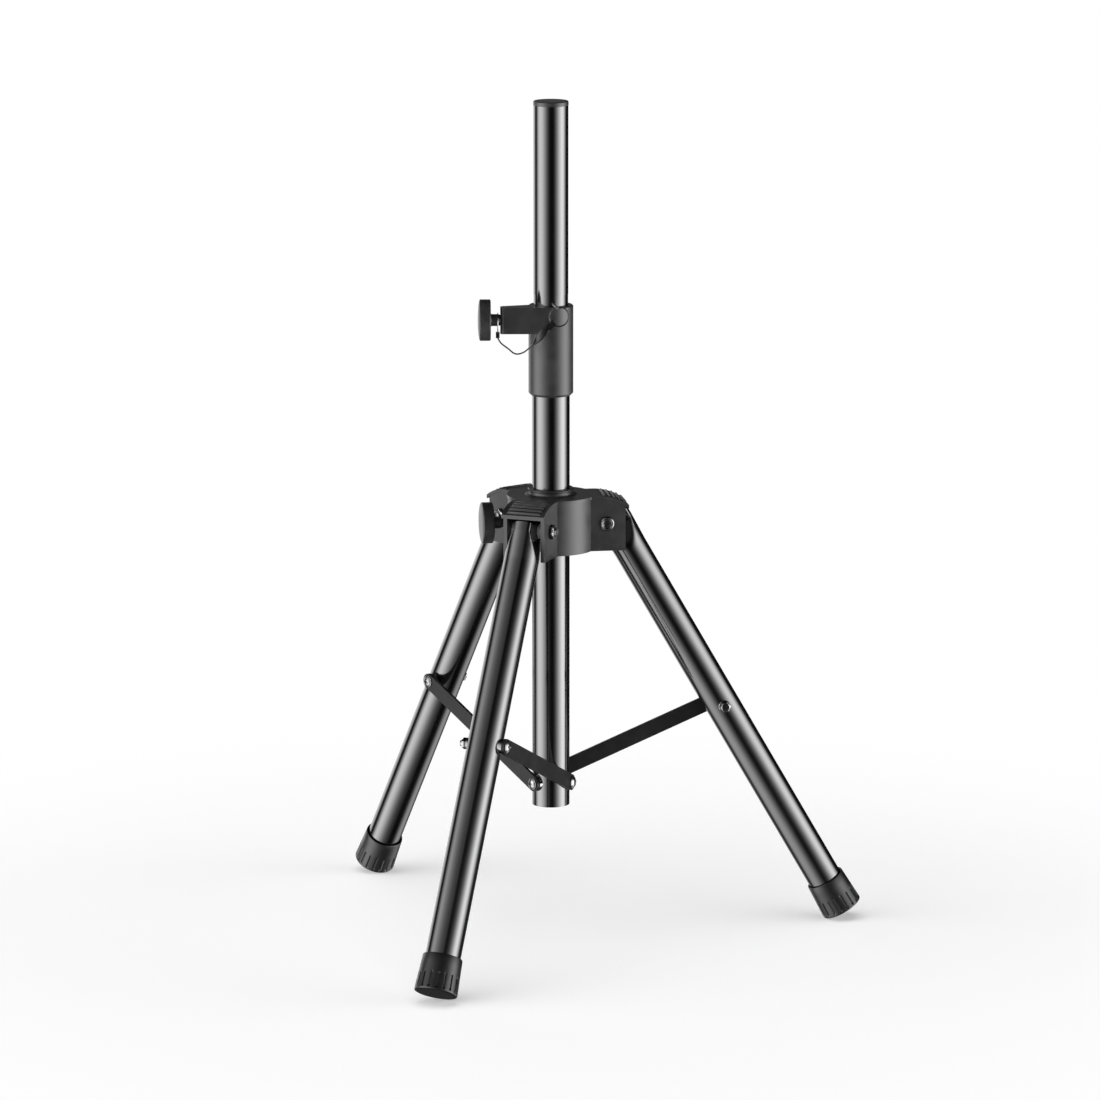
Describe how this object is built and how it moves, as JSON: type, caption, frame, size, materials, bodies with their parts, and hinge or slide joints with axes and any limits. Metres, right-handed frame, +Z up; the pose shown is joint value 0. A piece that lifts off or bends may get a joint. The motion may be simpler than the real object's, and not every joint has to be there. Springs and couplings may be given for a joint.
{
  "type": "speaker tripod stand",
  "caption": "Telescoping tripod stand for a loudspeaker: folding legs with braces on a sliding hub, clamp collar, safety pin and a pole.",
  "frame": {"origin": "on the pole's axis, at the level of the floor that the feet stand on", "axes": "+Z up along the pole, +X along leg 1, and -X towards the hub's knob"},
  "size_m": [0.4942, 0.564, 0.8508],
  "materials": {
    "black_gloss_paint": "gloss black powder coat on steel tube",
    "black_matte_paint": "satin black paint on flat steel",
    "black_plastic": "moulded dark grey-black nylon, matte",
    "white_plastic": "natural acetal bush",
    "brake_rubber": "hard rubber pad",
    "black_rubber": "black rubber, matte",
    "brass": "plain brass",
    "dark_chrome": "polished dark chrome plating",
    "bright_steel": "bright steel wire",
    "crimp_rubber": "black shrink sleeve",
    "strap": "black flexible plastic strap"
  },
  "bodies": {
    "stand": {"main_tube": "black_gloss_paint", "tube_plug": "black_plastic", "clamp_collar": "black_plastic", "collar_insert_nut": "brass", "pivot_screws": "dark_chrome", "pivot_spacers": "dark_chrome", "lanyard": "strap", "lanyard_crimp": "crimp_rubber", "lanyard_loop": "bright_steel"},
    "pole": {"pole_tube": "black_gloss_paint", "pole_cap": "black_plastic", "pole_bush": "black_plastic"},
    "pin": {"safety_pin": "bright_steel", "pull_ring": "bright_steel", "ring_crimp": "crimp_rubber"},
    "collar_shoe": {"collar_shoe": "brake_rubber"},
    "collar_knob": {"collar_screw": "dark_chrome", "collar_knob": "black_plastic"},
    "hub": {"hub_body": "black_plastic", "hub_insert_nut": "brass", "hinge_bolts": "dark_chrome", "hinge_nuts": "dark_chrome", "hinge_bushes": "white_plastic"},
    "hub_shoe": {"hub_shoe": "brake_rubber"},
    "hub_knob": {"hub_screw": "dark_chrome", "hub_knob": "black_plastic"},
    "leg_1": {"leg_tube_1": "black_gloss_paint", "leg_foot_1": "black_rubber", "brace_bolt_1": "dark_chrome", "brace_nut_1": "dark_chrome", "brace_spacer_1": "dark_chrome"},
    "brace_1": {"brace_bar_1": "black_matte_paint", "brace_screw_1": "dark_chrome"},
    "leg_2": {"leg_tube_2": "black_gloss_paint", "leg_foot_2": "black_rubber", "brace_bolt_2": "dark_chrome", "brace_nut_2": "dark_chrome", "brace_spacer_2": "dark_chrome"},
    "brace_2": {"brace_bar_2": "black_matte_paint", "brace_screw_2": "dark_chrome"},
    "leg_3": {"leg_tube_3": "black_gloss_paint", "leg_foot_3": "black_rubber", "brace_bolt_3": "dark_chrome", "brace_nut_3": "dark_chrome", "brace_spacer_3": "dark_chrome"},
    "brace_3": {"brace_bar_3": "black_matte_paint", "brace_screw_3": "dark_chrome"}
  },
  "joints": [
    {"name": "pole_slide", "type": "slide", "parent": "stand", "child": "pole", "axis": [0, 0, 1], "range_m": [0, 0.3]},
    {"name": "pin_pull", "type": "slide", "parent": "stand", "child": "pin", "axis": [0, -1, 0], "range_m": [0, 0.036], "deforming": ["lanyard"]},
    {"name": "hub_slide", "type": "slide", "parent": "stand", "child": "hub", "axis": [0, 0, 1], "range_m": [0, 0.094]},
    {"name": "collar_knob_turn", "type": "hinge", "parent": "collar_shoe", "child": "collar_knob", "pos_m": [-0.06188, -0.00751, 0.63316], "axis": [-0.9925, 0.1219, 0], "range_deg": [0, 722]},
    {"name": "collar_shoe_slide", "type": "slide", "parent": "stand", "child": "collar_shoe", "axis": [-0.9925, 0.1219, 0], "range_m": [0, 0.0025]},
    {"name": "hub_knob_turn", "type": "hinge", "parent": "hub_shoe", "child": "hub_knob", "pos_m": [-0.0595, 0, 0.42541], "axis": [-1, 0, 0], "range_deg": [0, 722]},
    {"name": "hub_shoe_slide", "type": "slide", "parent": "hub", "child": "hub_shoe", "axis": [-1, 0, 0], "range_m": [0, 0.0025]},
    {"name": "leg_fold_1", "type": "hinge", "parent": "hub", "child": "leg_1", "pos_m": [0.054, 0, 0.42541], "axis": [0, 1, 0], "range_deg": [0, 14.26]},
    {"name": "brace_swing_1", "type": "hinge", "parent": "stand", "child": "brace_1", "pos_m": [0, 0, 0.156], "axis": [0, -1, 0], "range_deg": [0, 26.18]},
    {"name": "leg_fold_2", "type": "hinge", "parent": "hub", "child": "leg_2", "pos_m": [-0.027, 0.04677, 0.42541], "axis": [-0.866, -0.5, 0], "range_deg": [0, 14.26]},
    {"name": "brace_swing_2", "type": "hinge", "parent": "stand", "child": "brace_2", "pos_m": [0, 0, 0.156], "axis": [0.866, 0.5, 0], "range_deg": [0, 26.18]},
    {"name": "leg_fold_3", "type": "hinge", "parent": "hub", "child": "leg_3", "pos_m": [-0.027, -0.04677, 0.42541], "axis": [0.866, -0.5, 0], "range_deg": [0, 14.26]},
    {"name": "brace_swing_3", "type": "hinge", "parent": "stand", "child": "brace_3", "pos_m": [0, 0, 0.156], "axis": [-0.866, 0.5, 0], "range_deg": [0, 26.18]}
  ],
  "couplings": [
    {"joint": "collar_knob_turn", "follows": "collar_shoe_slide", "rad_per_m": 5026.5},
    {"joint": "hub_knob_turn", "follows": "hub_shoe_slide", "rad_per_m": 5026.5},
    {"joint": "leg_fold_1", "follows": "hub_slide", "rad_per_m": 2.6377},
    {"joint": "brace_swing_1", "follows": "hub_slide", "rad_per_m": 4.8515},
    {"joint": "leg_fold_2", "follows": "hub_slide", "rad_per_m": 2.6377},
    {"joint": "brace_swing_2", "follows": "hub_slide", "rad_per_m": 4.8515},
    {"joint": "leg_fold_3", "follows": "hub_slide", "rad_per_m": 2.6377},
    {"joint": "brace_swing_3", "follows": "hub_slide", "rad_per_m": 4.8515}
  ]
}
